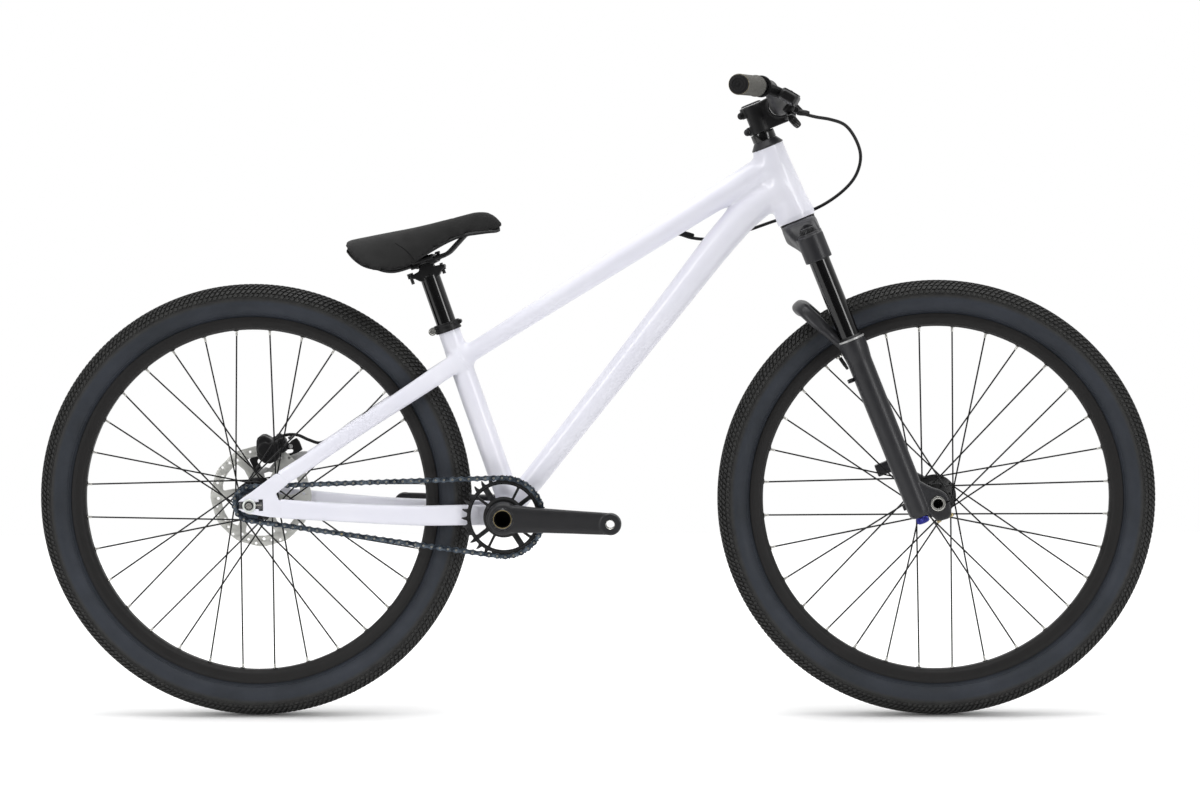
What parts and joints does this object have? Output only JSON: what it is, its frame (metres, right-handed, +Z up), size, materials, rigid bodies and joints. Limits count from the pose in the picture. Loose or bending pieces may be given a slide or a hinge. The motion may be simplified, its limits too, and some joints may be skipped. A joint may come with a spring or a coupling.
{
  "type": "dirt jump bicycle",
  "caption": "Hardtail dirt jump bicycle: low sloping frame, short-travel suspension fork, flat bar, single-speed chain drive, rear disc brake and low padded saddle.",
  "frame": {"origin": "on the ground midway between the two axles", "axes": "+X towards the front wheel, +Y to the left (away from the drive side), +Z up"},
  "size_m": [1.7244, 0.7706, 0.987],
  "materials": {
    "frame_paint": "gloss white",
    "fork_paint": "satin charcoal",
    "stanchion_black": "gloss black anodised",
    "anodised_black": "satin black anodised",
    "crank_charcoal": "matte charcoal",
    "rim_charcoal": "matte charcoal",
    "tyre_rubber": "black tread and sidewall",
    "tube_rubber": "black",
    "grip_rubber": "dark grey",
    "hose_black": "black",
    "spoke_black": "black",
    "chain_steel": "dark blue grey",
    "bright_steel": "silver",
    "adapter_silver": "silver",
    "pad_lining": "dark brown lining on steel",
    "dial_blue": "blue anodised",
    "saddle_fabric": "matte black cover over foam",
    "saddle_shell": "black nylon",
    "rail_steel": "black"
  },
  "bodies": {
    "frame": {"head_tube": "frame_paint", "top_tube": "frame_paint", "down_tube": "frame_paint", "seat_tube": "frame_paint", "right_chainstay": "frame_paint", "left_chainstay": "frame_paint", "right_seatstay": "frame_paint", "left_seatstay": "frame_paint", "right_bottom_bracket_cup": "anodised_black", "left_bottom_bracket_cup": "anodised_black", "headset_upper_bearing": "bright_steel", "headset_lower_bearing": "bright_steel", "seat_clamp": "stanchion_black", "rear_axle": "bright_steel", "right_chain_tensioner": "anodised_black", "left_chain_tensioner": "anodised_black", "chain": "chain_steel", "brake_hose": "hose_black", "brake_calliper": "anodised_black", "brake_adapter": "adapter_silver"},
    "steering": {"crown_and_steerer": "fork_paint", "right_stanchion": "stanchion_black", "left_stanchion": "stanchion_black", "headset_cover": "stanchion_black", "stem": "anodised_black", "stem_top_cap": "anodised_black", "handlebar": "anodised_black", "right_grip": "grip_rubber", "left_grip": "grip_rubber", "brake_lever_body": "anodised_black"},
    "compression_dial": {"compression_knob": "anodised_black"},
    "lower_legs": {"fork_lowers": "fork_paint", "front_axle": "bright_steel"},
    "rebound_dial": {"rebound_knob": "dial_blue"},
    "front_wheel": {"front_tyre": "tyre_rubber", "front_rim": "rim_charcoal", "front_inner_tube": "tube_rubber", "front_hub": "anodised_black", "front_right_spokes": "spoke_black", "front_left_spokes": "spoke_black"},
    "rear_wheel": {"rear_tyre": "tyre_rubber", "rear_rim": "rim_charcoal", "rear_inner_tube": "tube_rubber", "rear_hub": "anodised_black", "rear_right_spokes": "spoke_black", "rear_left_spokes": "spoke_black", "brake_rotor": "bright_steel"},
    "cog": {"rear_cog": "chain_steel"},
    "cranks": {"right_crank_arm": "crank_charcoal", "left_crank_arm": "crank_charcoal", "crank_spindle": "bright_steel", "chainring": "anodised_black"},
    "brake_lever": {"brake_lever_blade": "anodised_black"},
    "right_pad": {"right_brake_pad": "pad_lining"},
    "left_pad": {"left_brake_pad": "pad_lining"},
    "seat_post": {"seatpost": "stanchion_black"},
    "saddle": {"rail_clamp": "anodised_black", "saddle_rails": "rail_steel", "saddle_base": "saddle_shell", "saddle_cover": "saddle_fabric"}
  },
  "joints": [
    {"name": "steering_turn", "type": "hinge", "parent": "frame", "child": "steering", "pos_m": [0.27, 0, 0.877], "axis": [-0.3681, 0, 0.9298], "range_deg": [-80, 80], "deforming": ["brake_hose"]},
    {"name": "fork_travel", "type": "slide", "parent": "steering", "child": "lower_legs", "axis": [-0.3681, 0, 0.9298], "range_m": [0, 0.1], "stiffness_N_per_m": 6000, "springref_m": -0.01},
    {"name": "front_wheel_spin", "type": "hinge", "parent": "lower_legs", "child": "front_wheel", "pos_m": [0.52545, 0, 0.3368], "axis": [0, 1, 0], "continuous": true},
    {"name": "rear_wheel_spin", "type": "hinge", "parent": "frame", "child": "rear_wheel", "pos_m": [-0.52545, 0, 0.3368], "axis": [0, 1, 0], "continuous": true},
    {"name": "crank_spin", "type": "hinge", "parent": "frame", "child": "cranks", "pos_m": [-0.13707, 0, 0.3148], "axis": [0, 1, 0], "continuous": true, "deforming": ["chain"]},
    {"name": "cog_spin", "type": "hinge", "parent": "frame", "child": "cog", "pos_m": [-0.52545, 0, 0.3368], "axis": [0, 1, 0], "continuous": true},
    {"name": "brake_lever_pull", "type": "hinge", "parent": "steering", "child": "brake_lever", "pos_m": [0.301, -0.186, 0.929], "axis": [-0.6391, 0, -0.7691], "range_deg": [0, 18], "stiffness_Nm_per_rad": 1, "springref_deg": -5.73},
    {"name": "right_pad_slide", "type": "slide", "parent": "frame", "child": "right_pad", "axis": [0, 1, 0], "range_m": [0, 0.0005]},
    {"name": "left_pad_slide", "type": "slide", "parent": "frame", "child": "left_pad", "axis": [0, -1, 0], "range_m": [0, 0.0005]},
    {"name": "seatpost_height", "type": "slide", "parent": "frame", "child": "seat_post", "axis": [-0.3223, 0, 0.9466], "range_m": [-0.066, 0.05]},
    {"name": "saddle_tilt", "type": "hinge", "parent": "seat_post", "child": "saddle", "pos_m": [-0.25403, 0, 0.69266], "axis": [0, 1, 0], "range_deg": [-10, 10]},
    {"name": "compression_dial_turn", "type": "hinge", "parent": "steering", "child": "compression_dial", "pos_m": [0.32991, -0.064, 0.75014], "axis": [-0.3681, 0, 0.9298], "range_deg": [0, 90]},
    {"name": "rebound_dial_turn", "type": "hinge", "parent": "lower_legs", "child": "rebound_dial", "pos_m": [0.50236, -0.064, 0.31185], "axis": [-0.3681, 0, 0.9298], "range_deg": [0, 540]}
  ],
  "couplings": [
    {"joint": "cog_spin", "follows": "crank_spin", "ratio": 2.3077},
    {"joint": "right_pad_slide", "follows": "brake_lever_pull", "m_per_rad": 0.00156},
    {"joint": "left_pad_slide", "follows": "brake_lever_pull", "m_per_rad": 0.00156}
  ]
}
